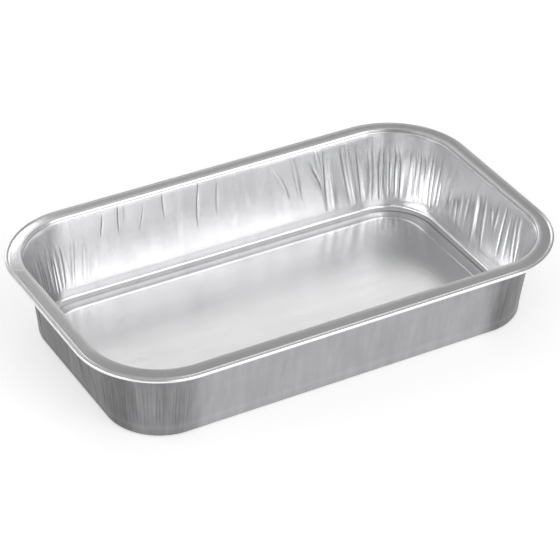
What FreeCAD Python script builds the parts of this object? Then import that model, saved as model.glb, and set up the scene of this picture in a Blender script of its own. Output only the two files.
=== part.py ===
import FreeCAD, Part
import math
import os
import random

from FreeCAD import Vector

# Aluminium foil tray, pressed from one sheet. Millimetres, +Z up.
# Origin: middle of the footprint on the surface the tray stands on.
# X runs along the length, Y along the width.

# Rim outline, measured over the rolled edge
length = 320.0
width = 194.0
corner_radius = 54.0
height = 56.0

# Sheet
sheet = 0.3

# Rolled edge: the sheet turned outwards, down and back under the flange
bead_radius = 1.3
bead_proud = 0.35
bead_start_angle = 45.0
bead_end_angle = 360.0

# Flange: falls outwards from the mouth to the rolled edge
flange_width = 10.4
flange_fall = 1.2

# Shoulder under the mouth: a short drop and a narrow ledge
shoulder_drop = 1.4
shoulder_lean = 0.3
ledge_width = 0.7
ledge_fall = 0.4
mouth_fillet = 0.7

# Wall: leans outwards, with a steeper band at the foot
wall_lean = 7.3
band_height = 7.2
band_lean = 0.5
foot_fillet = 3.0

# Floor: a flat ring that the tray stands on, and a raised panel
ring_width = 11.2
panel_rise = 1.0
panel_ramp = 1.1

# Folds of the wall, where the sheet gathered as it was drawn down.
# Places along a side run from -1 to 1 over its straight length, and
# levels run from 0 at the foot band to 1 at the ledge.
fold_root = 0.09
fold_width = 3.2
fold_height = 0.65
fold_peak = 0.45
side_fold_lean = 0.2
back_folds = [
    # place low, place high, level low, level high
    (-0.97, -0.95, 0.06, 0.66),
    (-0.91, -0.89, 0.08, 0.55),
    (-0.78, -0.75, 0.60, 0.92),
    (-0.66, -0.65, 0.62, 0.94),
    (-0.53, -0.49, 0.58, 0.88),
    (-0.36, -0.35, 0.60, 0.94),
    (-0.27, -0.23, 0.40, 0.85),
    (-0.14, -0.11, 0.42, 0.94),
    (0.00, 0.02, 0.45, 0.92),
    (0.48, 0.36, 0.36, 0.90),
    (0.57, 0.53, 0.32, 0.90),
    (0.72, 0.61, 0.36, 0.92),
    (0.77, 0.75, 0.05, 0.70),
    (0.92, 0.87, 0.05, 0.90)]
right_folds = [
    (-0.96, -0.90, 0.20, 0.90),
    (-0.80, -0.77, 0.15, 0.85),
    (-0.58, -0.63, 0.15, 0.88),
    (-0.32, -0.26, 0.38, 0.80),
    (-0.12, -0.08, 0.20, 0.86),
    (0.07, 0.12, 0.08, 0.88),
    (0.27, 0.26, 0.10, 0.70),
    (0.45, 0.44, 0.06, 0.66),
    (0.62, 0.63, 0.10, 0.80),
    (0.78, 0.84, 0.10, 0.75)]

# Folds round a corner: how many, the levels they run between, and how far one
# may differ from the next, as shares of their spacing, of the wall and of depth
corner_fold_count = 13
corner_fold_low = 0.05
corner_fold_high = 0.8
corner_fold_shift = 0.12
corner_fold_slant = 0.15
corner_fold_late_start = 0.12
corner_fold_early_end = 0.2
corner_fold_least_depth = 0.7
corner_fold_lean = 0.3

# Folds of the front and left walls: how many, their place within an even
# share of the side, their slant, the levels they start at and their rise
plain_fold_count = 8
plain_fold_place = (0.2, 0.8)
plain_fold_slant = 0.04
plain_fold_start = (0.05, 0.45)
plain_fold_rise = (0.3, 0.5)

# Rounds of the section are drawn with chords that stay this close to the arc
chord_gap = 0.1


# Section of the sheet
# It is drawn in a plane through a corner's axis: x is the distance from the
# axis, z is the height, and the line follows the face seen from above.

def rounded_line(points, radii):
    """Edges of a line through the points, with an arc at each inner point that has a radius."""
    edges = []
    start = points[0]
    for point, after, radius in zip(points[1:], points[2:], radii):
        if radius:
            to_start = (start - point).normalize()
            to_after = (after - point).normalize()
            half = to_start.getAngle(to_after) / 2
            bisector = (to_start + to_after).normalize()
            reach = radius / math.tan(half)
            middle = point + bisector * (radius / math.sin(half) - radius)
            arc = Part.Arc(point + to_start * reach, middle, point + to_after * reach)
            edges.append(Part.makeLine(start, arc.StartPoint))
            edges.append(arc.toShape())
            start = arc.EndPoint
        else:
            edges.append(Part.makeLine(start, point))
            start = point
    edges.append(Part.makeLine(start, points[-1]))
    return edges


def chorded(face):
    """The face with each arc of its outline drawn as even chords."""
    points = []
    for edge in face.OuterWire.OrderedEdges:
        count = 1
        if isinstance(edge.Curve, Part.Circle):
            widest = 2 * math.acos(1 - chord_gap / edge.Curve.Radius)
            count = math.ceil(edge.Length / edge.Curve.Radius / widest)
        ends = edge.discretize(count + 1)
        points += ends[::-1][:-1] if edge.Orientation == "Reversed" else ends[:-1]
    return Part.Face(Part.makePolygon(points + points[:1]))


flange_lip = corner_radius - flange_width
bead_centre = Vector(corner_radius - bead_radius, 0, height - flange_fall + bead_proud - bead_radius)


def bead_point(angle):
    """Point on the outside of the rolled edge, the angle counted from inwards over the top."""
    turn = math.radians(angle)
    return bead_centre + Vector(-math.cos(turn), 0, math.sin(turn)) * bead_radius


mouth = Vector(flange_lip, 0, height)
drop_foot = mouth + Vector(-shoulder_lean, 0, -shoulder_drop)
wall_top = drop_foot + Vector(-ledge_width, 0, -ledge_fall)
wall_foot = Vector(wall_top.x - wall_lean, 0, band_height)
ring_outer = Vector(wall_foot.x - band_lean, 0, sheet)
ring_inner = ring_outer + Vector(-ring_width, 0, 0)
panel_edge = ring_inner + Vector(-panel_ramp, 0, panel_rise)
panel_middle = Vector(0, 0, panel_edge.z)


def sheet_section():
    """Closed section of the sheet, from a corner's axis out to the rolled edge."""
    line = rounded_line(
        [bead_point(bead_start_angle), mouth, drop_foot, wall_top, wall_foot,
         ring_outer, ring_inner, panel_edge, panel_middle],
        [mouth_fillet, 0, 0, 0, foot_fillet, 0, 0])
    middle_angle = (bead_start_angle + bead_end_angle) / 2
    bead = Part.Arc(bead_point(bead_end_angle), bead_point(middle_angle), bead_point(bead_start_angle))
    upper_face = Part.Wire([bead.toShape()] + line)
    return chorded(upper_face.makeOffset2D(sheet, 2, True, True))


# Folds
# A fold is a thin ridge on the inside of the wall with the same groove
# behind it, so that the sheet keeps its thickness as it bends.

def wall_point(outward, level):
    """Point of the wall's inner face at a level, from a corner's axis towards outward."""
    point = wall_foot + (wall_top - wall_foot) * level
    return outward * point.x + Vector(0, 0, point.z)


def inwards(outward):
    """Direction square to the wall's inner face, where the wall faces away from outward."""
    slope = wall_top - wall_foot
    return (Vector(0, 0, slope.x) - outward * slope.z).normalize()


def ridge(low, high, inward, width, depth, lean):
    """Solid ridge between two points of the wall's inner face, tapering to nothing at both ends."""
    along = high - low
    across = along.cross(inward).normalize() * (width / 2)
    root = inward * -fold_root
    low_tip = low + root
    high_tip = high + root
    middle = low_tip + along * fold_peak
    left = middle - across
    right = middle + across
    crest = middle + inward * depth + across * lean
    outlines = [
        (low_tip, right, high_tip, left),
        (low_tip, left, crest),
        (low_tip, crest, right),
        (left, high_tip, crest),
        (high_tip, right, crest)]
    faces = [Part.Face(Part.makePolygon(list(outline) + [outline[0]])) for outline in outlines]
    return Part.Solid(Part.Shell(faces))


def folded(piece, folds):
    """The piece with each fold raised on its inside and sunk into its outside."""
    ridges = [ridge(*fold) for fold in folds]
    grooves = []
    for fold, solid in zip(folds, ridges):
        groove = solid.copy()
        groove.translate(fold[2] * -sheet)
        grooves.append(groove)
    return piece.fuse(ridges).cut(grooves)


def towards(degrees):
    turn = math.radians(degrees)
    return Vector(math.cos(turn), math.sin(turn), 0)


def corner_folds(quarter):
    """Close, uneven folds round one corner, for a corner whose axis is at the origin."""
    chance = random.Random(quarter)
    folds = []
    pitch = 90.0 / corner_fold_count
    for number in range(corner_fold_count):
        shift = chance.uniform(-corner_fold_shift, corner_fold_shift)
        middle = 90.0 * quarter + pitch * (number + 0.5 + shift)
        slant = pitch * chance.uniform(-corner_fold_slant, corner_fold_slant)
        low_level = corner_fold_low + chance.uniform(0, corner_fold_late_start)
        high_level = corner_fold_high - chance.uniform(0, corner_fold_early_end)
        low = wall_point(towards(middle - slant), low_level)
        high = wall_point(towards(middle + slant), high_level)
        depth = fold_height * chance.uniform(corner_fold_least_depth, 1.0)
        lean = chance.uniform(-corner_fold_lean, corner_fold_lean)
        folds.append((low, high, inwards(towards(middle)), fold_width, depth, lean))
    return folds


def scattered(quarter):
    """Marks for the folds of a side, spread unevenly along it."""
    chance = random.Random(quarter)
    marks = []
    for number in range(plain_fold_count):
        place_low = (number + chance.uniform(*plain_fold_place)) / plain_fold_count * 2 - 1
        level_low = chance.uniform(*plain_fold_start)
        place_high = place_low + chance.uniform(-plain_fold_slant, plain_fold_slant)
        marks.append((place_low, place_high, level_low, level_low + chance.uniform(*plain_fold_rise)))
    return marks


# The ring of the sheet: four corners and the four sides between them

def corner_axis(quarter):
    """Foot of the vertical axis of one corner, counted anticlockwise from +X +Y."""
    across = length / 2 - corner_radius
    along = width / 2 - corner_radius
    return Vector(across * (1, -1, -1, 1)[quarter % 4], along * (1, 1, -1, -1)[quarter % 4], 0)


def side_folds(quarter, marks):
    """Folds of the side that follows a corner, where the marks say."""
    outward = towards(90.0 * (quarter + 1))
    start = corner_axis(quarter)
    end = corner_axis(quarter + 1)
    middle = (start + end) / 2
    along = Vector(abs(end.x - start.x), abs(end.y - start.y), 0) / 2
    folds = []
    for place_low, place_high, level_low, level_high in marks:
        low = middle + along * place_low + wall_point(outward, level_low)
        high = middle + along * place_high + wall_point(outward, level_high)
        folds.append((low, high, inwards(outward), fold_width, fold_height, side_fold_lean))
    return folds


def corner_piece(section, quarter):
    start = section.rotated(Vector(0, 0, 0), Vector(0, 0, 1), 90.0 * quarter)
    piece = start.revolve(Vector(0, 0, 0), Vector(0, 0, 1), 90.0)
    return folded(piece, corner_folds(quarter)).translated(corner_axis(quarter))


def side_piece(section, quarter, marks):
    """Straight side that follows a corner."""
    start = section.rotated(Vector(0, 0, 0), Vector(0, 0, 1), 90.0 * (quarter + 1))
    run = corner_axis(quarter + 1) - corner_axis(quarter)
    piece = start.extrude(run).translated(corner_axis(quarter))
    return folded(piece, side_folds(quarter, marks))


def panel_piece():
    """Flat middle of the floor, between the four corners' axes."""
    low_corner = corner_axis(2) + Vector(0, 0, panel_middle.z - sheet)
    return Part.makeBox(length - 2 * corner_radius, width - 2 * corner_radius, sheet, low_corner)


def tray():
    section = sheet_section()
    pieces = [corner_piece(section, quarter) for quarter in range(4)]
    side_marks = (back_folds, scattered(1), scattered(2), right_folds)
    pieces += [side_piece(section, quarter, marks) for quarter, marks in enumerate(side_marks)]
    return panel_piece().fuse(pieces).removeSplitter()


os.makedirs("parts", exist_ok=True)
solid = tray()
solid.exportStep("parts/tray.step")
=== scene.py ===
import math

import bpy
import numpy as np
from mathutils import Matrix, Vector
from mathutils.geometry import delaunay_2d_cdt


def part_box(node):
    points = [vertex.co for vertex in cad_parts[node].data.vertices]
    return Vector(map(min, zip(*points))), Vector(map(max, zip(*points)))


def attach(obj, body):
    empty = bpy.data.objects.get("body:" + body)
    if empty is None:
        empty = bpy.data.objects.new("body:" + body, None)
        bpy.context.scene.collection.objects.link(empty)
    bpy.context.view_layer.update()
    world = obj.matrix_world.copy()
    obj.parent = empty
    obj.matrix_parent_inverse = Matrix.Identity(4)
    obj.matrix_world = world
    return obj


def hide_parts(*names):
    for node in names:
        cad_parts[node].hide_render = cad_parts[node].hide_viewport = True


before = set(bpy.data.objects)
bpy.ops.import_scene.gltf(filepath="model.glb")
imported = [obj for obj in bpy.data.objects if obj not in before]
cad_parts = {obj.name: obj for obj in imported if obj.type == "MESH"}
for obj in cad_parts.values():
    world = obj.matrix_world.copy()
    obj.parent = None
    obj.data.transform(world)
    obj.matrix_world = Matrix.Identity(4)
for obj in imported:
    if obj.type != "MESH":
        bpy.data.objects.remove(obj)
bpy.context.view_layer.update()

# Sizes of the tray in millimetres, the same as in the part's source, but for the roll, which ends
# 2 degrees earlier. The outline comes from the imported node.
MM = 0.001
_, high_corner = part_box("tray")
half_length = high_corner.x / MM
half_width = high_corner.y / MM
corner_radius = 54.0
height = 56.0
sheet = 0.3
bead_radius = 1.3
bead_proud = 0.35
bead_start_angle = 45.0
bead_end_angle = 358.0
flange_width = 10.4
flange_fall = 1.2
shoulder_drop = 1.4
shoulder_lean = 0.3
ledge_width = 0.7
ledge_fall = 0.4
wall_lean = 7.3
band_height = 7.2
band_lean = 0.5
ring_width = 11.2
panel_rise = 1.0
panel_ramp = 1.1
# Flat edge of the floor panel that is turned round with the section; how far in from the ring's inner and
# outer edges its crown starts and ends, and how high it is; and how far in from the ring's outer edge
# the channel beside the foot starts
panel_flat = 2.0
crown_start = 1.1
crown_end = 4.4
ring_crown = 0.1
channel_place = 3.3

# Rounds of the section, millimetres
mouth_round = 0.8
crease_round = 0.5
foot_round = 3.0
band_round = 1.2
floor_round = 0.6

# Groove between the flange and the roll: its width and depth, how far its steep side runs outwards,
# and the plain edge of the flange before it
groove_width = 0.62
groove_depth = 0.42
groove_drop_run = 0.34
groove_lead = 0.5

# Mesh: columns round the tray, how many stand in a millimetre of plain wall and in the reach of a fold,
# how many times its reach a fold draws them from, and the step in which they are counted; rows along the
# wall, and the gap that gets two rows; points of the roll; and the grid of the floor, millimetres
column_count = 890
plain_columns_per_mm = 0.5
columns_per_fold_reach = 3.2
fold_margin = 1.2
run_grid = 0.1
wall_rows = 15
long_gap = 2.0
bead_points = 13
panel_grid = 5.0
# Rows closer than this, in millimetres, are thinned out on the lower face
tight_gap = 0.8
# A fold's line guides the columns if it keeps this share of its gap to the line before it,
# and that share is more than this many millimetres
guide_share = 0.5
guide_gap = 0.3
# Slack, in millimetres, when rows are picked by their place in the section
row_slack = 0.01
wall_slack = 0.1
# Share of the way round in which a face counts as lying at the seam of the map
seam_share = 0.1

# Millimetres that the walls bulge inwards
wall_bulge = 0.5
# Flutes of the walls: depth, length, seed, and the heights between which they begin and end
wall_flutes = [
    (0.10, 9.0, 5, (6.5, 14), (38, 53)),
    (0.045, 5.0, 6, (10, 26), (46, 54))]

# Gather of the foil, which also sets a painted shade on the outside: in the four corners, how far that
# reaches into the corner and along the side, on the short sides, and how squarely a wall has to face left or
# right to count as short. Above 1 it only deepens the painted shade
corner_gather_and_shade = (1.0, 1.0, 1.0, 1.3)
gather_inside = 4
gather_beyond = 14
short_side_gather_and_shade = 1.6
short_side_facing = (0.5, 0.9)

# Painted shade on the foil, as shares of the materials' painted shading amount: bands and lines drawn darker
# to stand in for shade. A pair is for the left and the right of the tray, and the first value says between
# which outward directions the one passes into the other
left_to_right = (-0.2, 0.6)
ring_painted_shade = (0.55, 0.0)
channel_painted_shade = (0.25, 0.9)
shoulder_painted_shade = (0.1, 0.5)
step_painted_shade = 0.4
flange_painted_shade = 0.15
# Bend of the wall, per millimetre, at which a fold's painted shade is full
full_shade_bend = 0.7
# Painted shade outside, round the foot, where the floor it reflects lies in shade: its amount, height of its
# middle, and reach
foot_painted_shade = 0.9
foot_shade_level = 0.3
foot_shade_reach = 1.6
# Painted highlight outside, at the top of the foot band: its amount and reach
crease_painted_highlight = 0.4
crease_highlight_reach = 0.8


# Section of the sheet, from the edge of the floor panel out to the rolled edge.
# Distance from a corner's axis, then height, on the face seen from above.

def rounded(points, rounds, steps):
    """The points of a line with an arc of even steps at each inner point."""
    line = [np.array(points[0])]
    for before, point, after, radius, count in zip(points, points[1:], points[2:], rounds, steps):
        if count == 0:
            line.append(np.array(point))
            continue
        before, point, after = (np.array(p) for p in (before, point, after))
        to_before = (before - point) / np.linalg.norm(before - point)
        to_after = (after - point) / np.linalg.norm(after - point)
        half = math.acos(np.dot(to_before, to_after)) / 2
        bisector = (to_before + to_after) / np.linalg.norm(to_before + to_after)
        centre = point + bisector * radius / math.sin(half)
        reach = radius / math.tan(half)
        start = point + to_before * reach - centre
        end = point + to_after * reach - centre
        turn = math.pi - 2 * half
        for step in range(count + 1):
            share = step / count
            arm = start * math.sin((1 - share) * turn) + end * math.sin(share * turn)
            line.append(centre + arm / math.sin(turn))
    line.append(np.array(points[-1]))
    return line


flange_lip = corner_radius - flange_width
bead_centre = np.array((corner_radius - bead_radius, height - flange_fall + bead_proud - bead_radius))
mouth = np.array((flange_lip, height))
drop_foot = mouth - (shoulder_lean, shoulder_drop)
wall_top = drop_foot - (ledge_width, ledge_fall)
wall_foot = np.array((wall_top[0] - wall_lean, band_height))
ring_outer = np.array((wall_foot[0] - band_lean, sheet))
ring_inner = ring_outer - (ring_width, 0)
panel_edge = ring_inner + (-panel_ramp, panel_rise)
panel_start = panel_edge - (panel_flat, 0)
# The ring is slightly crowned, with a narrow channel along each edge
ring_crown_inner = ring_inner + (crown_start, ring_crown)
ring_crown_outer = ring_outer + (-crown_end, ring_crown)
ring_channel = ring_outer - (channel_place, 0)


def bead_point(angle):
    turn = math.radians(angle)
    return bead_centre + np.array((-math.cos(turn), math.sin(turn))) * bead_radius


def section():
    """Points of the section on the upper face, one for each row."""
    bead = [bead_point(angle) for angle in np.linspace(bead_start_angle, bead_end_angle, bead_points)]
    # The flange's edge drops into the groove and the roll rises out of it
    fall = (bead[0] - mouth) / np.linalg.norm(bead[0] - mouth)
    groove_top = bead[0] - fall * groove_width
    groove_floor = groove_top + (groove_drop_run, -groove_depth)
    groove = [groove_top - fall * groove_lead, groove_top, (groove_top + groove_floor) / 2, groove_floor]
    # Inner points with the radius of their round and its number of steps; a plain point has none
    inner = [(panel_edge, floor_round, 2), (ring_inner, floor_round, 2), (ring_crown_inner, 0, 0),
             (ring_crown_outer, 0, 0), (ring_channel, 0, 0), (ring_outer, foot_round, 5),
             (wall_foot, band_round, 2), (wall_top, crease_round, 2), (drop_foot, crease_round, 2),
             (mouth, mouth_round, 4)]
    inner += [(point, 0, 0) for point in (*groove, bead[0])]
    points, rounds, steps = zip(*inner)
    line = rounded([panel_start, *points, bead[1]], rounds, steps)
    rows = []
    for point, after in zip(line, line[1:]):
        gap = np.linalg.norm(after - point)
        if gap > wall_lean + band_height:
            count = wall_rows
        elif gap > long_gap:
            count = 2
        else:
            count = 1
        rows += [point + (after - point) * step / count for step in range(count)]
    return np.array(rows + bead[1:])


def row_normals(line):
    """Unit normals of the section on its upper side."""
    before = np.diff(line, axis=0, prepend=line[:1] * 2 - line[1:2])
    after = np.diff(line, axis=0, append=line[-1:] * 2 - line[-2:-1])
    before /= np.linalg.norm(before, axis=1)[:, None]
    after /= np.linalg.norm(after, axis=1)[:, None]
    along = before + after
    along /= np.linalg.norm(along, axis=1)[:, None]
    return np.stack((-along[:, 1], along[:, 0]), axis=1)


# Columns round the tray, anticlockwise from the start of the +X +Y corner.
# A place along the wall is counted in millimetres, as "run".

wall_radius = (wall_top[0] + wall_foot[0]) / 2
corner_run = wall_radius * math.pi / 2
axis_x = half_length - corner_radius
axis_y = half_width - corner_radius
side_lengths = (2 * axis_x, 2 * axis_y, 2 * axis_x, 2 * axis_y)
full_run = 4 * corner_run + sum(side_lengths)


def corner_axis(quarter):
    quarter %= 4
    return np.array((axis_x * (1, -1, -1, 1)[quarter], axis_y * (1, 1, -1, -1)[quarter]))


def corner_start(quarter):
    return quarter * corner_run + sum(side_lengths[:quarter])


def in_corner(quarter, degrees):
    return corner_start(quarter) + corner_run * degrees / 90


def on_back(x):
    return corner_start(0) + corner_run + axis_x - x


def on_left(y):
    return corner_start(1) + corner_run + axis_y - y


def on_front(x):
    return corner_start(2) + corner_run + axis_x + x


def on_right(y):
    return corner_start(3) + corner_run + axis_y + y


def stand(run):
    """Axis foot and outward direction at places along the wall."""
    run = run % full_run
    foot = np.zeros(run.shape + (2,))
    turn = np.zeros(run.shape)
    for quarter in range(4):
        within = run - corner_start(quarter)
        in_bend = (within >= 0) & (within < corner_run)
        foot[in_bend] = corner_axis(quarter)
        turn[in_bend] = 90 * quarter + 90 * within[in_bend] / corner_run
        on_side = (within >= corner_run) & (within < corner_run + side_lengths[quarter])
        share = (within[on_side] - corner_run) / side_lengths[quarter]
        step = corner_axis(quarter + 1) - corner_axis(quarter)
        foot[on_side] = corner_axis(quarter) + share[:, None] * step
        turn[on_side] = 90 * (quarter + 1)
    turn = np.radians(turn)
    return foot, np.stack((np.cos(turn), np.sin(turn)), axis=-1)


# Folds and dents of the wall: millimetres inwards from the plain wall

def smooth(low, high, value):
    share = np.clip((value - low) / (high - low), 0, 1)
    return share * share * (3 - 2 * share)


# Outline of a fold: how fast it thins out at its ends, its reach there as a share, and how sharp a crest is
fold_end_power = 0.6
fold_end_reach = 0.4
fold_crest_power = 1.5


class Fold:
    """A long fold of the wall between two places (run, z)."""

    def __init__(self, low, high, reach, depth, bow=0.0, soft=0.0):
        self.low, self.high = low, high
        self.reach, self.depth, self.bow, self.soft = reach, depth, bow, soft

    def share(self, z):
        return np.clip((z - self.low[1]) / (self.high[1] - self.low[1]), 0, 1)

    def centre(self, z):
        share = self.share(z)
        return self.low[0] + (self.high[0] - self.low[0]) * share + self.bow * 4 * share * (1 - share)

    def shape(self, run, z):
        """Millimetres inwards. Soft goes from 0, a sharp crest, to 1, a round one with a sharp foot."""
        share = self.share(z)
        off = (run - self.centre(z) + full_run / 2) % full_run - full_run / 2
        ends = np.sin(math.pi * share) ** fold_end_power
        side = self.reach * (fold_end_reach + (1 - fold_end_reach) * ends)
        near = np.clip(1 - np.abs(off) / side, 0, 1)
        sharp_crest = near ** fold_crest_power
        round_crest = 1 - (1 - near) ** 2
        return self.depth * ends * (sharp_crest * (1 - self.soft) + round_crest * self.soft)


def waves(run, seed, length):
    """Smooth uneven waves round the whole wall, from -1 to 1, about as long as asked."""
    count = round(full_run / length)
    knots = np.random.default_rng(seed).uniform(-1, 1, count)
    place = run / full_run * count
    first = np.floor(place).astype(int)
    share = place - first
    share = share * share * (3 - 2 * share)
    return knots[first % count] * (1 - share) + knots[(first + 1) % count] * share


def near_corner(run):
    """1 in the corners, falling to 0 along the sides."""
    near = np.zeros(np.shape(run))
    for quarter, gather in enumerate(corner_gather_and_shade):
        middle = corner_start(quarter) + corner_run / 2
        off = np.abs((run - middle + full_run / 2) % full_run - full_run / 2)
        near += gather * (1 - smooth(corner_run / 2 - gather_inside, corner_run / 2 + gather_beyond, off))
    return near


def near_short_side(run):
    """1 along the left and right sides, 0 along the long ones."""
    _, outward = stand(run)
    return smooth(*short_side_facing, np.abs(outward[..., 0]))


# Folds that the photograph shows: place and height at the foot, then at the top,
# reach to each side, depth, bow, and how round the crest is
back_wall_folds = [
    (-104, 8, -102, 40, 1.6, 0.45, 0.0, 0.0),
    (-96, 10, -94, 36, 1.5, 0.30, 0.0, 0.2),
    (-90, 9, -87, 30, 2.4, 0.22, 0.0, 0.6),
    (-83, 36, -80, 51, 1.3, -0.30, -0.4, 0.0),
    (-70, 37, -69, 53, 1.1, -0.28, 0.0, 0.0),
    (-67, 42, -66, 52, 1.2, 0.20, 0.0, 0.3),
    (-56, 34, -52, 48, 1.2, -0.24, -0.5, 0.0),
    (-38, 38, -38, 53, 1.3, -0.26, 0.3, 0.0),
    (-28, 24, -24, 48, 3.4, 0.24, 1.0, 0.8),
    (-15, 25, -12, 53, 1.5, -0.42, 0.9, 0.0),
    (-1, 30, 1, 51, 1.6, -0.28, 0.4, 0.2),
    (12, 22, 10, 46, 3.2, 0.18, 0.0, 0.8),
    (22, 30, 20, 50, 2.6, 0.20, 0.0, 0.6),
    (51, 23, 38, 51, 1.8, 0.38, -2.2, 0.4),
    (60, 22, 56, 52, 1.6, 0.36, 0.0, 0.2),
    (77, 22, 65, 51, 1.7, -0.60, -0.8, 0.0),
    (76, 36, 73, 53, 1.6, 0.45, 0.0, 0.3),
    (80, 8, 79, 52, 2.6, -0.65, 0.8, 0.1),
    (85, 8, 83, 46, 2.2, 0.60, 0.5, 0.6),
    (97, 8, 91, 51, 2.0, -0.60, 0.6, 0.0),
    (101, 8, 96, 50, 1.8, 0.60, 0.3, 0.4),
    (105, 9, 103, 48, 1.9, -0.50, 0.0, 0.2)]
right_wall_folds = [
    (-44, 20, -41, 53, 1.9, 0.34, 0.3, 0.3),
    (-40, 18, -37, 50, 1.8, 0.28, 0.0, 0.2),
    (-33, 16, -33, 46, 1.8, -0.22, 0.0, 0.3),
    (-26, 14, -27, 50, 1.9, -0.34, 0.4, 0.1),
    (-18, 26, -19, 47, 1.8, 0.32, 0.0, 0.2),
    (-15, 30, -11, 45, 1.7, 0.28, 0.0, 0.3),
    (-8, 10, -5, 48, 2.0, 0.34, 0.4, 0.4),
    (-1, 14, 1, 44, 2.0, -0.32, 0.0, 0.2),
    (3, 9, 5, 50, 2.1, 0.38, 0.0, 0.4),
    (12, 14, 11, 42, 2.4, -0.32, 0.0, 0.4),
    (19, 8, 19, 40, 2.1, 0.34, 0.3, 0.3),
    (22, 13, 23, 28, 1.6, -0.38, 0.0, 0.2),
    (30, 9, 29, 46, 2.3, 0.34, 0.0, 0.4),
    (37, 8, 36, 48, 2.1, 0.38, 0.0, 0.4)]
# Corners, from the back right one anticlockwise: number of folds, depth, millimetres that they slant,
# their top, and how round the crests are at least
corner_gathers = [
    (15, 0.66, 0.0, 47, 0.75),
    (20, 0.36, 2.2, 44, 0.5),
    (25, 0.24, 0.5, 46, 0.5),
    (25, 0.17, -0.5, 46, 0.5)]
plain_fold_gap = 13.0


def corner_folds(quarter):
    """Close folds round a corner, each meeting the next in a sharp crease."""
    count, depth, slant, top, soft = corner_gathers[quarter]
    chance = np.random.default_rng(20 + quarter)
    pitch = corner_run / count
    edges = in_corner(quarter, 0) + pitch * np.arange(count + 1)
    edges[1:-1] += pitch * chance.uniform(-0.28, 0.28, count - 1)
    folds = []
    for number, (first, last) in enumerate(zip(edges, edges[1:])):
        middle = (first + last) / 2
        lean = slant / 2 + pitch * 0.16 * (-1) ** number * chance.uniform(0.3, 1)
        low = (middle - lean, chance.uniform(6.0, 8.5))
        high = (middle + lean, top - chance.uniform(0, 13))
        reach = (last - first) * chance.uniform(0.46, 0.56)
        folds.append(Fold(low, high, reach, depth * chance.uniform(0.6, 1.15),
                          pitch * chance.uniform(-0.12, 0.12), chance.uniform(soft, 1)))
    return folds


def plain_folds(place, length, seed):
    """Shallow folds, spread unevenly over a side."""
    chance = np.random.default_rng(seed)
    folds = []
    for number in range(round(length / plain_fold_gap)):
        middle = (number + chance.uniform(0.1, 0.9)) * plain_fold_gap - length / 2
        foot = chance.uniform(8, 26)
        low = (place(middle), foot)
        high = (place(middle + chance.uniform(-3, 3)), foot + chance.uniform(14, 26))
        folds.append(Fold(low, high, chance.uniform(1.4, 3),
                          chance.choice((-1, 1)) * chance.uniform(0.12, 0.35),
                          chance.uniform(-1, 1), chance.uniform(0.2, 0.9)))
    return folds


def all_folds():
    folds = []
    for place, marks in ((on_back, back_wall_folds), (on_right, right_wall_folds)):
        for foot, low_z, top, high_z, reach, depth, bow, soft in marks:
            folds.append(Fold((place(foot), low_z), (place(top), high_z), reach, depth, bow, soft))
    for quarter in range(4):
        folds += corner_folds(quarter)
    folds += plain_folds(on_left, 2 * axis_y, 31)
    folds += plain_folds(on_front, 2 * axis_x, 32)
    return folds


def wall_shape(folds, run, z):
    """Millimetres inwards from the plain wall, for each place on it."""
    share = np.clip((z - band_height) / (wall_top[1] - band_height), 0, 1)
    inwards = wall_bulge * np.sin(math.pi * share)
    for each in folds:
        inwards += each.shape(run, z)
    for depth, length, seed, foot, head in wall_flutes:
        body = smooth(*foot, z) * (1 - smooth(*head, z))
        inwards += depth * body * waves(run, seed, length)
    return inwards


def creased(run, inwards):
    """How sharply the wall bends across the folds, per millimetre: positive in valleys of the inside."""
    run_gap = (np.roll(run, -1, axis=0) - run) % full_run
    slope = (np.roll(inwards, -1, axis=0) - inwards) / run_gap
    return (slope - np.roll(slope, 1, axis=0)) / (0.5 * (run_gap + np.roll(run_gap, 1, axis=0)))


def column_places(folds, levels):
    """Run of each column at each level: closer together at the folds, and following their lines."""
    grid = np.arange(0, full_run, run_grid)
    density = np.full(len(grid), plain_columns_per_mm)
    for each in folds:
        middle = each.centre((each.low[1] + each.high[1]) / 2)
        off = np.abs((grid - middle + full_run / 2) % full_run - full_run / 2)
        near = off < fold_margin * each.reach
        density[near] = np.maximum(density[near], columns_per_fold_reach / each.reach)
    filled = np.concatenate(([0], np.cumsum(density)))
    base = np.interp(np.arange(column_count) * filled[-1] / column_count, filled, np.append(grid, full_run))

    anchors = []
    for each in sorted(folds, key=lambda one: one.centre((one.low[1] + one.high[1]) / 2)):
        line = each.centre(levels)
        rest = line.mean()
        if not anchors or (line - anchors[-1][1]).min() > guide_share * (rest - anchors[-1][0]) > guide_gap:
            anchors.append((rest, line))
    rests = np.array([rest for rest, _ in anchors])
    lines = np.array([line for _, line in anchors])
    rests = np.concatenate((rests[-1:] - full_run, rests, rests[:1] + full_run))
    lines = np.concatenate((lines[-1:] - full_run, lines, lines[:1] + full_run))
    return np.stack([np.interp(base, rests, lines[:, level]) for level in range(len(levels))], axis=1)


def floor_shape(x, y):
    """Millimetres up from the flat panel: a sum of slow waves."""
    return (0.07 * np.sin(x / 13 + 0.6 * np.sin(y / 17)) * np.cos(y / 19 + 0.4)
            + 0.05 * np.sin(x / 31 + y / 23 + 1) + 0.03 * np.sin(x / 7 - y / 41)
            + 0.02 * np.sin(x / 3.1 + 1.5 * np.sin(x / 11 + y / 37)))


def facing_of(upper):
    """Unit normals of the upper face at its grid of points."""
    round_tray = np.roll(upper, -1, axis=0) - np.roll(upper, 1, axis=0)
    along_section = np.empty_like(upper)
    along_section[:, 1:-1] = upper[:, 2:] - upper[:, :-2]
    along_section[:, 0] = upper[:, 1] - upper[:, 0]
    along_section[:, -1] = upper[:, -1] - upper[:, -2]
    facing = np.cross(along_section, round_tray)
    return facing / np.linalg.norm(facing, axis=2)[:, :, None]


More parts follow.
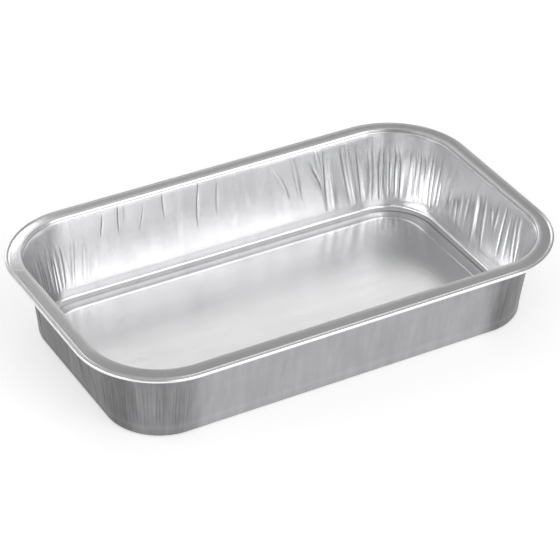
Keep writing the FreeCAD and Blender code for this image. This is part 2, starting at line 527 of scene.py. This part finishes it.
def lower_rows(gaps):
    """Rows that the lower face has too: every second one where they stand close."""
    rows = len(gaps) + 1
    kept = [0]
    for row in range(1, rows - 1):
        tight = min(gaps[row - 1], gaps[row]) < tight_gap
        if not tight or row - kept[-1] >= 2:
            kept.append(row)
    return kept + [rows - 1]


def floor_panel(rim):
    """Points inside the first row, and the triangles between them and the row's own points."""
    points = list(rim)
    inner_x = axis_x + panel_start[0]
    inner_y = axis_y + panel_start[0]
    for x in np.arange(-inner_x + panel_grid, inner_x - panel_grid / 2, panel_grid):
        for y in np.arange(-inner_y + panel_grid, inner_y - panel_grid / 2, panel_grid):
            past = math.hypot(max(abs(x) - axis_x, 0), max(abs(y) - axis_y, 0))
            if past < panel_start[0] - panel_grid / 2:
                points.append(Vector((x, y)))
    flat, _, triangles, *_ = delaunay_2d_cdt(points, [], [list(range(len(rim)))], 1, 1e-6)
    return np.array([tuple(point) for point in flat[len(rim):]]), triangles


def between(pair, rightness):
    """Value that passes from the left one of a pair to the right one."""
    left, right = pair
    return left + (right - left) * rightness


def upper_painted_shading(line, bend, on_wall, outwards):
    """Painted shade on the upper face at each point: in fold valleys, and along some of the rows."""
    distance, level = line.T
    rightness = smooth(*left_to_right, outwards[:, :, 0])
    flange_end = bead_point(bead_start_angle)[0] - groove_width - groove_lead / 2
    on_flange = (distance > flange_lip + mouth_round / 2) & (distance < flange_end) & (level > drop_foot[1])
    on_flange &= np.arange(len(line)) < len(line) - bead_points + 1
    # Painted shade along the flange, and a painted dark line at the inner edge of the ring
    rows = np.where(on_flange, flange_painted_shade, 0.0)
    rows[np.argmin(np.linalg.norm(line - ring_inner, axis=1))] = step_painted_shade
    # Painted shade on the shoulder, on the ring's crown and in the channel beside the foot, with a different
    # amount on the left and the right
    on_shoulder = (level > wall_top[1]) & (level < height - mouth_round / 2)
    on_shoulder &= distance < flange_lip + wall_slack
    on_ring = (distance > ring_crown_inner[0] - row_slack) & (distance < ring_crown_outer[0] + row_slack)
    in_channel = np.abs(distance - ring_channel[0]) < row_slack
    # Painted shade in the valleys of the folds, on top of the rows' painted shade
    painted_amounts = np.clip(bend, 0, 1) * on_wall + rows
    for place, pair in ((on_shoulder, shoulder_painted_shade), (on_ring, ring_painted_shade), (in_channel, channel_painted_shade)):
        painted_amounts += place * between(pair, rightness)
    return painted_amounts


def lower_painted_shading(line, bend, on_wall):
    """Painted shade on the lower face at each point: in the grooves of the outside and round the foot, less a
    painted highlight at the top of the foot band.
    """
    distance, level = line.T
    # Painted shade round the foot
    rows = foot_painted_shade * np.exp(-((level - foot_shade_level) / foot_shade_reach) ** 2)
    rows *= distance > ring_channel[0]
    # Painted highlight at the top of the foot band
    rows -= crease_painted_highlight * (np.abs(level - band_height) < crease_highlight_reach) * on_wall
    # Painted shade in the grooves of the outside
    return np.clip(-bend, 0, 1) * on_wall + rows


def add_map(mesh, name, places, faces, goes_round):
    """UV map of the sheet. One that goes round the tray runs on past its end in the faces that close it."""
    corners = np.empty(len(mesh.loops), np.int32)
    mesh.loops.foreach_get("vertex_index", corners)
    places = places[corners] * MM
    if goes_round:
        face_of = np.repeat(np.arange(len(faces)), [len(face) for face in faces])
        at_end = np.zeros(len(faces), bool)
        np.logical_or.at(at_end, face_of, places[:, 0] > full_run * MM * (1 - seam_share))
        places[at_end[face_of] & (places[:, 0] < full_run * MM * seam_share), 0] += full_run * MM
    mesh.uv_layers.new(name=name).data.foreach_set("uv", places.astype(np.float32).ravel())


def tray_mesh():
    # Upper face: one point for each column and row
    line = section()
    normals = row_normals(line)
    folds = all_folds()
    z = np.broadcast_to(line[:, 1], (column_count, len(line)))
    run = column_places(folds, line[:, 1])
    feet, outwards = stand(run)
    count, rows = run.shape
    on_wall = line[:, 0] > ring_inner[0] + ring_width / 2
    on_wall &= (line[:, 1] < wall_top[1]) & (line[:, 0] < wall_top[0] + wall_slack)
    inwards = wall_shape(folds, run, z) * on_wall
    bend = creased(run, inwards) / full_shade_bend
    rho = line[:, 0] + normals[:, 0] * inwards
    upper = np.empty((count, rows, 3))
    upper[:, :, :2] = feet + outwards * rho[:, :, None]
    upper[:, :, 2] = line[:, 1] + normals[:, 1] * inwards
    on_panel = smooth(ring_inner[0], panel_start[0], line[:, 0])
    upper[:, :, 2] += floor_shape(upper[:, :, 0], upper[:, :, 1]) * on_panel[None, :]

    # Lower face: fewer rows, a sheet's thickness away
    gaps = np.linalg.norm(np.diff(line, axis=0), axis=1)
    kept = lower_rows(gaps)
    lower = (upper - facing_of(upper) * sheet)[:, kept]
    below = count * rows

    def top(column, row):
        return (column % count) * rows + row

    def bottom(column, row):
        return below + (column % count) * len(kept) + row

    faces = []
    for column in range(count):
        after = column + 1
        for row in range(rows - 1):
            faces.append((top(column, row), top(column, row + 1), top(after, row + 1), top(after, row)))
        for row in range(len(kept) - 1):
            faces.append((bottom(after, row), bottom(after, row + 1),
                          bottom(column, row + 1), bottom(column, row)))
        faces.append((top(column, rows - 1), bottom(column, len(kept) - 1),
                      bottom(after, len(kept) - 1), top(after, rows - 1)))

    # Floor panel inside the first row, with its two faces
    inside, triangles = floor_panel([Vector(point) for point in upper[:, 0, :2]])
    panel_top = np.column_stack((inside, panel_start[1] + floor_shape(inside[:, 0], inside[:, 1])))
    above_first = below + count * len(kept)
    under_first = above_first + len(inside)
    for triangle in triangles:
        faces.append(tuple(top(v, 0) if v < count else above_first + v - count for v in triangle))
        faces.append(tuple(bottom(v, 0) if v < count else under_first + v - count
                           for v in reversed(triangle)))

    vertices = np.concatenate((upper.reshape(-1, 3), lower.reshape(-1, 3),
                               panel_top, panel_top - (0, 0, sheet)))
    mesh = bpy.data.meshes.new("foil_tray")
    mesh.from_pydata((vertices * MM).tolist(), [], faces)
    is_under = np.zeros(len(vertices), bool)
    is_under[below:above_first] = True
    is_under[under_first:] = True
    sides = [int(all(is_under[v] for v in face)) for face in faces]
    mesh.polygons.foreach_set("material_index", sides)

    # What the materials read: the foil's gather, which also sets a painted shade, the painted shade and
    # painted highlight drawn on it, what is wall, and two maps of the sheet
    def everywhere(upper_values, lower_values, panel_values):
        shape = (-1,) + upper_values.shape[2:]
        return np.concatenate((upper_values.reshape(shape), lower_values[:, kept].reshape(shape),
                               panel_values, panel_values))

    gather_and_shade = np.maximum(near_corner(run), short_side_gather_and_shade * near_short_side(run)) * on_wall
    wall = np.broadcast_to(on_wall.astype(float), run.shape)
    painted_shading_above = upper_painted_shading(line, bend, on_wall, outwards)
    painted_shading_below = lower_painted_shading(line, bend, on_wall)
    none = np.zeros(len(inside))
    for name, values in (("gather_and_shade", everywhere(gather_and_shade, gather_and_shade, none)),
                         ("painted_shading", everywhere(painted_shading_above, painted_shading_below, none)),
                         ("wall", everywhere(wall, wall, none))):
        mesh.attributes.new(name, "FLOAT", "POINT").data.foreach_set("value", values.astype(np.float32))
    steps = np.concatenate(([0], np.cumsum(gaps))) + panel_start[0]
    blank = feet + outwards * steps[:, None]
    unrolled = np.stack(np.broadcast_arrays(run, steps), axis=2)
    add_map(mesh, "blank", everywhere(blank, blank, inside), faces, False)
    add_map(mesh, "round", everywhere(unrolled, unrolled, inside), faces, True)
    mesh.update()
    mesh.shade_smooth()
    return mesh


# Material

# Patterns of the foil: map of the sheet, length along it and across it in millimetres, and detail
fine_streaks = ("round", 1.2, 24, 3)
broad_streaks = ("round", 7, 34, 3)
clouds = ("blank", 60, 9, 3)
rolling_lines = ("blank", 40, 0.6, 4)
grain = ("blank", 2.6, 2.0, 3)
crease_lines = ("blank", 34, 60, 1)
crease_patches = ("blank", 40, 30, 1)
# The part of the noise's range that it mostly keeps to
noise_range = (0.3, 0.7)
# Depths of the bumps, millimetres
rolling_depth = 0.0015
grain_depth = 0.010
crease_depth = 0.03
# How thin a handling crease is, and how the patches that carry creases range
crease_sharpness = 60.0
crease_patch_range = (-1.2, 1.4)
# Shares of the colour: the clouds' range, the fine streaks' range for each unit of streak,
# and how the streaks grow with the gather, from a least value and up to a greatest
cloud_range = (0.98, 1.02)
fine_range = (-1.4, 1.2)
gather_growth, gather_least, gather_most = 0.4, 0.2, 0.6
# Strength of the drawn streaks' bump on a plain wall
plain_wall_draw = 0.15


def nodes_of(material):
    material.use_nodes = True
    tree = material.node_tree
    return tree, tree.nodes["Principled BSDF"]


def streaks(tree, uv_name, along, across, detail):
    """Noise stretched into streaks of these lengths in millimetres, in a map of the sheet."""
    uv = tree.nodes.new("ShaderNodeUVMap")
    uv.uv_map = uv_name
    mapping = tree.nodes.new("ShaderNodeMapping")
    mapping.inputs["Scale"].default_value = (1 / (along * MM), 1 / (across * MM), 1)
    noise = tree.nodes.new("ShaderNodeTexNoise")
    noise.inputs["Scale"].default_value = 1.0
    noise.inputs["Detail"].default_value = detail
    tree.links.new(uv.outputs["UV"], mapping.inputs["Vector"])
    tree.links.new(mapping.outputs["Vector"], noise.inputs["Vector"])
    return noise.outputs["Fac"]


def ranged(tree, value, low, high):
    """Noise brought from its own range to another."""
    span = tree.nodes.new("ShaderNodeMapRange")
    span.inputs["From Min"].default_value, span.inputs["From Max"].default_value = noise_range
    span.inputs["To Min"].default_value = low
    span.inputs["To Max"].default_value = high
    tree.links.new(value, span.inputs["Value"])
    return span.outputs["Result"]


def bumped(tree, value, depth, under=None, strength=None):
    """Bump of a depth in millimetres, on top of another bump."""
    bump = tree.nodes.new("ShaderNodeBump")
    bump.inputs["Distance"].default_value = depth * MM
    bump.inputs["Strength"].default_value = 1.0
    tree.links.new(value, bump.inputs["Height"])
    if strength is not None:
        tree.links.new(strength, bump.inputs["Strength"])
    if under is not None:
        tree.links.new(under, bump.inputs["Normal"])
    return bump.outputs["Normal"]


def attribute(tree, name):
    node = tree.nodes.new("ShaderNodeAttribute")
    node.attribute_name = name
    return node.outputs["Fac"]


def calculated(tree, operation, *values):
    node = tree.nodes.new("ShaderNodeMath")
    node.operation = operation
    for socket, value in zip(node.inputs, values):
        if isinstance(value, (int, float)):
            socket.default_value = value
        else:
            tree.links.new(value, socket)
    return node.outputs[0]


def foil_material(name, colour, roughness, spread, streak, gather_painted_shade, painted_shading_amount, drawn_depth):
    """Rolled foil: fine lines along the length of the blank, and on the walls streaks of the drawing."""
    material = bpy.data.materials.new(name)
    tree, shader = nodes_of(material)
    shader.inputs["Metallic"].default_value = 1.0
    shader.inputs["Anisotropic"].default_value = 0.5
    shader.inputs["Anisotropic Rotation"].default_value = 0.25
    tangent = tree.nodes.new("ShaderNodeTangent")
    tangent.direction_type = "UV_MAP"
    tangent.uv_map = "blank"
    tree.links.new(tangent.outputs["Tangent"], shader.inputs["Tangent"])

    def calc(operation, *values):
        return calculated(tree, operation, *values)

    wall, gather_and_shade, painted_shading = (attribute(tree, each) for each in ("wall", "gather_and_shade", "painted_shading"))
    fine = streaks(tree, *fine_streaks)
    broad = streaks(tree, *broad_streaks)
    rolling = streaks(tree, *rolling_lines)

    # Share of the colour that is left: clouds everywhere, streaks on the walls, and painted shade in the
    # gather and from the mesh's painted shading in fold valleys and along some rows
    share = ranged(tree, streaks(tree, *clouds), *cloud_range)
    broad_part = calc("MULTIPLY", ranged(tree, broad, -streak, streak), wall)
    growth = calc("MINIMUM", calc("MULTIPLY_ADD", gather_and_shade, gather_growth, gather_least), gather_most)
    fine_low, fine_high = (each * streak for each in fine_range)
    fine_part = calc("MULTIPLY", ranged(tree, fine, fine_low, fine_high), growth)
    share = calc("ADD", share, broad_part)
    share = calc("ADD", share, calc("MULTIPLY", fine_part, wall))
    # Painted shade: darker where the gather is high, in the corners and on the left and right walls
    share = calc("SUBTRACT", share, calc("MULTIPLY", gather_and_shade, gather_painted_shade))
    # Painted shade, and a painted highlight, from the mesh's painted shading
    share = calc("SUBTRACT", share, calc("MULTIPLY", painted_shading, painted_shading_amount))
    tone = tree.nodes.new("ShaderNodeMixRGB")
    tone.blend_type = "MULTIPLY"
    tone.inputs["Fac"].default_value = 1.0
    tone.inputs["Color1"].default_value = (*colour, 1)
    tree.links.new(share, tone.inputs["Color2"])
    tree.links.new(tone.outputs["Color"], shader.inputs["Base Color"])

    tree.links.new(ranged(tree, rolling, roughness - spread, roughness + spread), shader.inputs["Roughness"])

    draw = calc("MAXIMUM", calc("MINIMUM", gather_and_shade, 1.0), calc("MULTIPLY", wall, plain_wall_draw))
    normal = bumped(tree, rolling, rolling_depth)
    normal = bumped(tree, fine, drawn_depth, normal, draw)
    normal = bumped(tree, streaks(tree, *grain), grain_depth, normal)
    # Handling creases: thin lines where a slow noise passes its middle, and only here and there
    crease = calc("ABSOLUTE", calc("SUBTRACT", streaks(tree, *crease_lines), 0.5))
    crease = calc("MAXIMUM", calc("MULTIPLY_ADD", crease, -crease_sharpness, 1.0), 0.0)
    patches = ranged(tree, streaks(tree, *crease_patches), *crease_patch_range)
    normal = bumped(tree, calc("MULTIPLY", crease, patches), crease_depth, normal)
    tree.links.new(normal, shader.inputs["Normal"])
    return material


tray = bpy.data.objects.new("foil_tray", tray_mesh())
bpy.context.scene.collection.objects.link(tray)
tray.data.materials.append(foil_material(
    "bright_side", colour=(0.90, 0.90, 0.91), roughness=0.23, spread=0.03, streak=0.035,
    gather_painted_shade=0.0, painted_shading_amount=0.7, drawn_depth=0.025))
# The outside is the foil's matt side, rougher than the inside; its colour is darker than foil is, a painted
# shade for the shaded floor that the outer walls reflect
tray.data.materials.append(foil_material(
    "matt_side_painted_darker", colour=(0.42, 0.42, 0.43), roughness=0.36, spread=0.03, streak=0.08,
    gather_painted_shade=0.36, painted_shading_amount=0.18, drawn_depth=0.04))
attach(tray, "root")
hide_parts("tray")


# Floor, light and camera

# Softboxes: name, degrees from +X and above the floor, degrees wide and tall, and how bright the face is
softboxes = [
    ("front", 285, 28, 50, 34, 1.68),
    ("front_low", 300, 8, 30, 10, 2.9),
    ("front_left", 234, 24, 44, 24, 0.22),
    ("left", 188, 24, 40, 14, 2.4),
    ("left_back", 147, 24, 40, 14, 2.1),
    ("back_strip", 88, 23, 24, 14, 2.4),
    ("back_panel", 60, 34, 26, 14, 0.70),
    ("front_top", 310, 58, 50, 24, 0.27),
    ("overhead", 60, 80, 44, 24, 0.2)]
softbox_distance = 3.0
world_level = 0.33
# Half the floor's length, how far it lies under the tray, its grey, and how much brighter a camera sees it
floor_size = 6.0
floor_drop = 0.0003
floor_grey = 0.9
floor_lift = 0.5


def floor_plane():
    size = floor_size
    mesh = bpy.data.meshes.new("floor")
    corners = [(-size, -size, 0), (size, -size, 0), (size, size, 0), (-size, size, 0)]
    mesh.from_pydata(corners, [], [(0, 1, 2, 3)])
    plane = bpy.data.objects.new("floor", mesh)
    plane.location.z = -floor_drop
    bpy.context.scene.collection.objects.link(plane)
    material = bpy.data.materials.new("white_floor")
    tree, shader = nodes_of(material)
    shader.inputs["Base Color"].default_value = (floor_grey, floor_grey, floor_grey, 1)
    shader.inputs["Roughness"].default_value = 0.9
    shader.inputs["Specular IOR Level"].default_value = 0.0
    shader.inputs["Emission Color"].default_value = (1, 1, 1, 1)
    # The camera, glossy reflections and views through glass see the floor lifted to white
    path = tree.nodes.new("ShaderNodeLightPath").outputs
    seen = calculated(tree, "MAXIMUM", path["Is Camera Ray"], path["Is Glossy Ray"])
    seen = calculated(tree, "MAXIMUM", seen, path["Is Transmission Ray"])
    tree.links.new(calculated(tree, "MULTIPLY", seen, floor_lift), shader.inputs["Emission Strength"])
    mesh.materials.append(material)


def softbox(name, azimuth, elevation, wide, tall, radiance):
    """Soft area light that faces the tray."""
    turn, rise = math.radians(azimuth), math.radians(elevation)
    towards = Vector((math.cos(turn) * math.cos(rise), math.sin(turn) * math.cos(rise), math.sin(rise)))
    light = bpy.data.lights.new(name, "AREA")
    light.shape = "RECTANGLE"
    light.size = 2 * softbox_distance * math.tan(math.radians(wide / 2))
    light.size_y = 2 * softbox_distance * math.tan(math.radians(tall / 2))
    light.energy = math.pi * light.size * light.size_y * radiance
    lamp = bpy.data.objects.new(name, light)
    lamp.location = towards * softbox_distance
    lamp.rotation_euler = towards.to_track_quat("Z", "Y").to_euler()
    bpy.context.scene.collection.objects.link(lamp)


def photo_camera():
    """Camera at the photograph's viewing angle, as fitted to the tray's edges."""
    turn, rise, roll = (math.radians(angle) for angle in (-30.113, 34.313, 1.015))
    distance = 1.61195
    aim = Vector((0, 0, 0.020))
    shift_right, shift_up = -0.000538, 0.005647
    lens = 168.17
    back = Vector((math.sin(turn) * math.cos(rise), -math.cos(turn) * math.cos(rise), math.sin(rise)))
    level = Vector((0, 0, 1)).cross(back).normalized()
    over = back.cross(level)
    right = level * math.cos(roll) + over * math.sin(roll)
    up = over * math.cos(roll) - level * math.sin(roll)
    place = aim + back * distance + right * shift_right + up * shift_up
    camera = bpy.data.objects.new("camera", bpy.data.cameras.new("camera"))
    camera.data.lens = lens
    camera.data.sensor_width = 36
    camera.matrix_world = Matrix((
        (right.x, up.x, back.x, place.x),
        (right.y, up.y, back.y, place.y),
        (right.z, up.z, back.z, place.z),
        (0, 0, 0, 1)))
    bpy.context.scene.collection.objects.link(camera)
    bpy.context.scene.camera = camera


floor_plane()
for each in softboxes:
    softbox(*each)
world = bpy.data.worlds.new("studio")
world.use_nodes = True
world.node_tree.nodes["Background"].inputs["Color"].default_value = (world_level, world_level, world_level, 1)
bpy.context.scene.world = world
bpy.context.scene.view_settings.view_transform = "Standard"
photo_camera()
